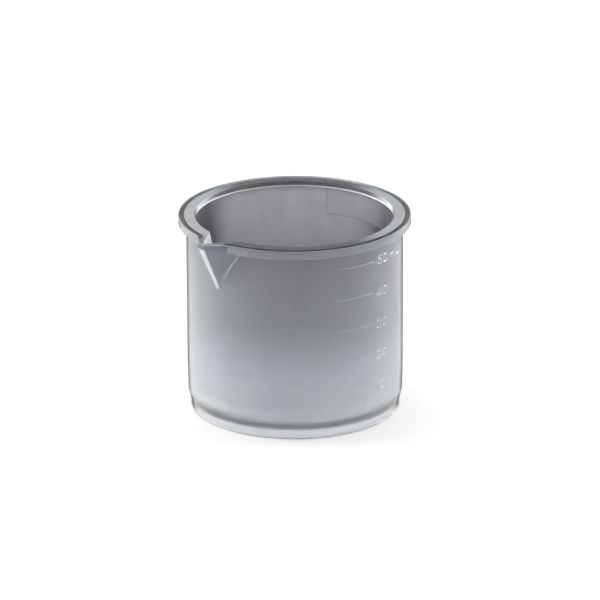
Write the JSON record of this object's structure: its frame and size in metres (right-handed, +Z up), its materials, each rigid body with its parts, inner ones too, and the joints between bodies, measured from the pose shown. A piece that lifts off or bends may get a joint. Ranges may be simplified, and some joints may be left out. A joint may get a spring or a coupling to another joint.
{
  "type": "low-form graduated beaker",
  "caption": "Low-form translucent beaker with a broad grooved rim, a pointed pouring spout, a graduation scale and a recessed foot.",
  "frame": {"origin": "on the cup's axis, at the surface that the foot stands on, which is the bottom centre of the part's box", "axes": "+Z up along the cup's axis; the spout points to -X-Y, 225 degrees from +X; the graduation scale faces -Y+X"},
  "size_m": [0.05, 0.05, 0.0432],
  "materials": {
    "wall": "translucent natural polypropylene, satin",
    "foot": "translucent natural polypropylene, satin",
    "rim": "translucent natural polypropylene, satin",
    "rim_groove": "translucent natural polypropylene, slightly rough",
    "marks": "translucent natural polypropylene, raised marks"
  },
  "bodies": {
    "root": {"side_wall": "wall", "cup_floor": "wall", "foot_skirt": "foot", "foot_edge": "foot", "rim_land": "rim", "rim_flange": "rim_groove", "rim_lip": "rim", "pouring_spout": "rim", "marking_panel": "marks", "graduation_10": "marks", "graduation_20": "marks", "graduation_30": "marks", "graduation_40": "marks", "graduation_50": "marks"}
  },
  "joints": []
}
